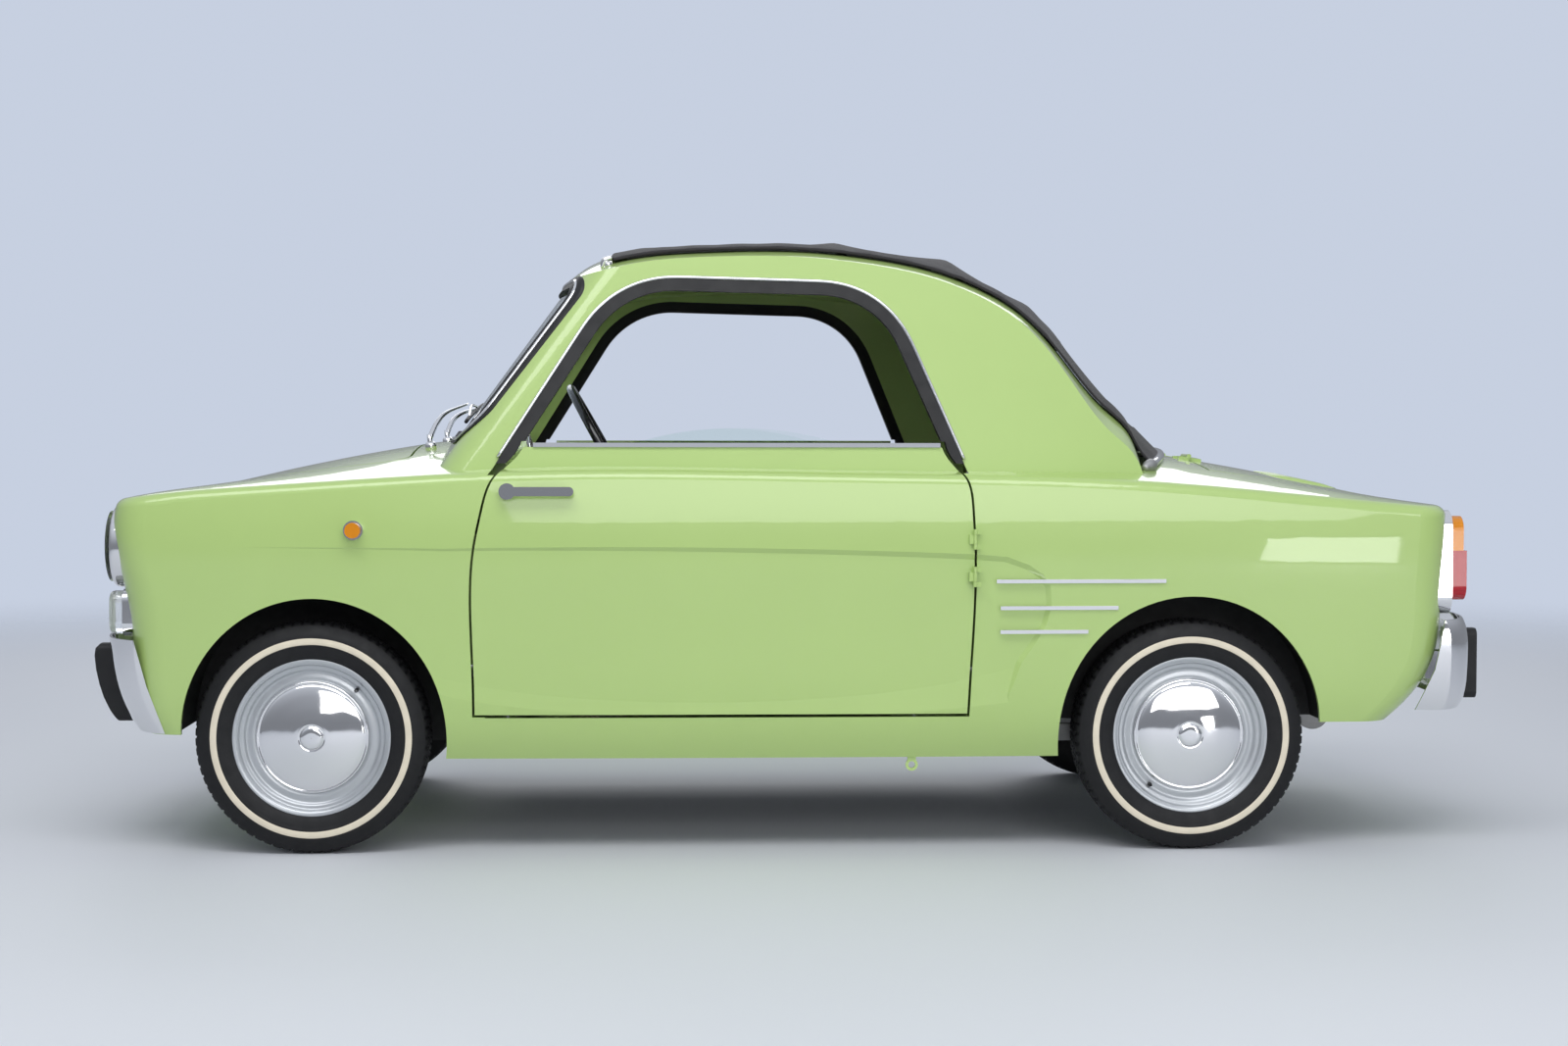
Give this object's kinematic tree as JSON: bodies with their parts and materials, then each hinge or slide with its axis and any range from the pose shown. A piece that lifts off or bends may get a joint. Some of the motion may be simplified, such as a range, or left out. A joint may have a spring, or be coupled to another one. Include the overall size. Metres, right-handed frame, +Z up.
{
  "type": "two-door rear-engined microcar with roll-back cloth roof",
  "caption": "Small two-door car with rear-hinged doors, a cloth roof between metal side frames, lids at nose and tail, and steered front wheels.",
  "frame": {"origin": "on the ground, midway between the faces of the front and rear overriders", "axes": "+X forward along the car, +Y to the car's left, +Z up"},
  "size_m": [3.01, 1.372, 1.3133],
  "materials": {
    "paint": "gloss pistachio green enamel",
    "underbody": "black underbody paint",
    "hood_cloth": "dark coated roof cloth",
    "clear_plastic": "clear flexible window",
    "glass": "clear glass",
    "seal_rubber": "black rubber",
    "chrome": "polished chrome",
    "seat_vinyl": "brown vinyl",
    "black_plastic": "black",
    "bare_steel": "dull steel",
    "cast_alloy": "cast alloy",
    "tyre": "black tyre with a cream ring",
    "rim_paint": "silver paint with a chromed cap",
    "clear_lens": "clear lens",
    "amber_lens": "amber lens",
    "red_lens": "red lens"
  },
  "bodies": {
    "body": {"front_wing_left": "paint", "front_wing_right": "paint", "side_frame_left": "paint", "side_frame_right": "paint", "sills": "paint", "screen_frame": "paint", "nose_panel": "paint", "rear_deck": "paint", "tail_panel": "paint", "wheelhouses": "underbody", "floor_pan": "underbody", "front_bulkhead": "paint", "rear_bulkhead": "paint", "glazing_seals": "seal_rubber", "windscreen": "glass", "folding_top": "hood_cloth", "rear_window": "clear_plastic", "hood_bows": "bare_steel", "dashboard": "paint", "steering_column": "black_plastic", "seat_frames": "bare_steel", "front_seats": "seat_vinyl", "rear_bench": "seat_vinyl", "front_suspension": "bare_steel", "rear_suspension": "bare_steel", "drivetrain": "cast_alloy", "engine_block": "cast_alloy", "silencer": "bare_steel", "front_bumper": "chrome", "rear_bumper": "chrome", "overriders": "seal_rubber", "lamp_bezels": "chrome", "clear_lenses": "clear_lens", "amber_lenses": "amber_lens", "red_lenses": "red_lens", "body_trim": "chrome"},
    "door_left": {"door_left": "paint", "door_glass_left": "glass", "door_trim_left": "chrome"},
    "door_right": {"door_right": "paint", "door_glass_right": "glass", "door_trim_right": "chrome"},
    "front_lid": {"front_lid": "paint"},
    "engine_lid": {"engine_lid": "paint"},
    "steering_wheel": {"steering_wheel": "black_plastic"},
    "knuckle_left": {"knuckle_left": "bare_steel"},
    "knuckle_right": {"knuckle_right": "bare_steel"},
    "wheel_front_left": {"tyre_front_left": "tyre", "rim_front_left": "rim_paint"},
    "wheel_front_right": {"tyre_front_right": "tyre", "rim_front_right": "rim_paint"},
    "wheel_rear_left": {"tyre_rear_left": "tyre", "rim_rear_left": "rim_paint"},
    "wheel_rear_right": {"tyre_rear_right": "tyre", "rim_rear_right": "rim_paint"}
  },
  "joints": [
    {"name": "door_left_hinge", "type": "hinge", "parent": "body", "child": "door_left", "pos_m": [-0.362, 0.6725, 0.619], "axis": [0, 0, 1], "range_deg": [0, 70]},
    {"name": "door_right_hinge", "type": "hinge", "parent": "body", "child": "door_right", "pos_m": [-0.362, -0.6725, 0.619], "axis": [0, 0, -1], "range_deg": [0, 70]},
    {"name": "front_lid_hinge", "type": "hinge", "parent": "body", "child": "front_lid", "pos_m": [1.3295, 0, 0.7495], "axis": [0, 1, 0], "range_deg": [0, 60]},
    {"name": "engine_lid_hinge", "type": "hinge", "parent": "body", "child": "engine_lid", "pos_m": [-0.9075, 0, 0.826], "axis": [0, 1, 0], "range_deg": [0, 65]},
    {"name": "steer_left", "type": "hinge", "parent": "body", "child": "knuckle_left", "pos_m": [1.015, 0.468, 0.243], "axis": [0, 0, 1], "range_deg": [-30, 30]},
    {"name": "steer_right", "type": "hinge", "parent": "body", "child": "knuckle_right", "pos_m": [1.015, -0.468, 0.243], "axis": [0, 0, 1], "range_deg": [-30, 30]},
    {"name": "steering_wheel_turn", "type": "hinge", "parent": "body", "child": "steering_wheel", "pos_m": [0.398, 0.3, 0.813], "axis": [-0.8746, 0, 0.4848], "range_deg": [-390, 390]},
    {"name": "wheel_front_left_spin", "type": "hinge", "parent": "knuckle_left", "child": "wheel_front_left", "pos_m": [1.015, 0.5605, 0.243], "axis": [0, 1, 0], "continuous": true},
    {"name": "wheel_front_right_spin", "type": "hinge", "parent": "knuckle_right", "child": "wheel_front_right", "pos_m": [1.015, -0.5605, 0.243], "axis": [0, 1, 0], "continuous": true},
    {"name": "wheel_rear_left_spin", "type": "hinge", "parent": "body", "child": "wheel_rear_left", "pos_m": [-0.825, 0.5675, 0.243], "axis": [0, 1, 0], "continuous": true},
    {"name": "wheel_rear_right_spin", "type": "hinge", "parent": "body", "child": "wheel_rear_right", "pos_m": [-0.825, -0.5675, 0.243], "axis": [0, 1, 0], "continuous": true}
  ],
  "couplings": [
    {"joint": "steer_right", "follows": "steer_left", "ratio": 1},
    {"joint": "steering_wheel_turn", "follows": "steer_left", "ratio": 13}
  ]
}
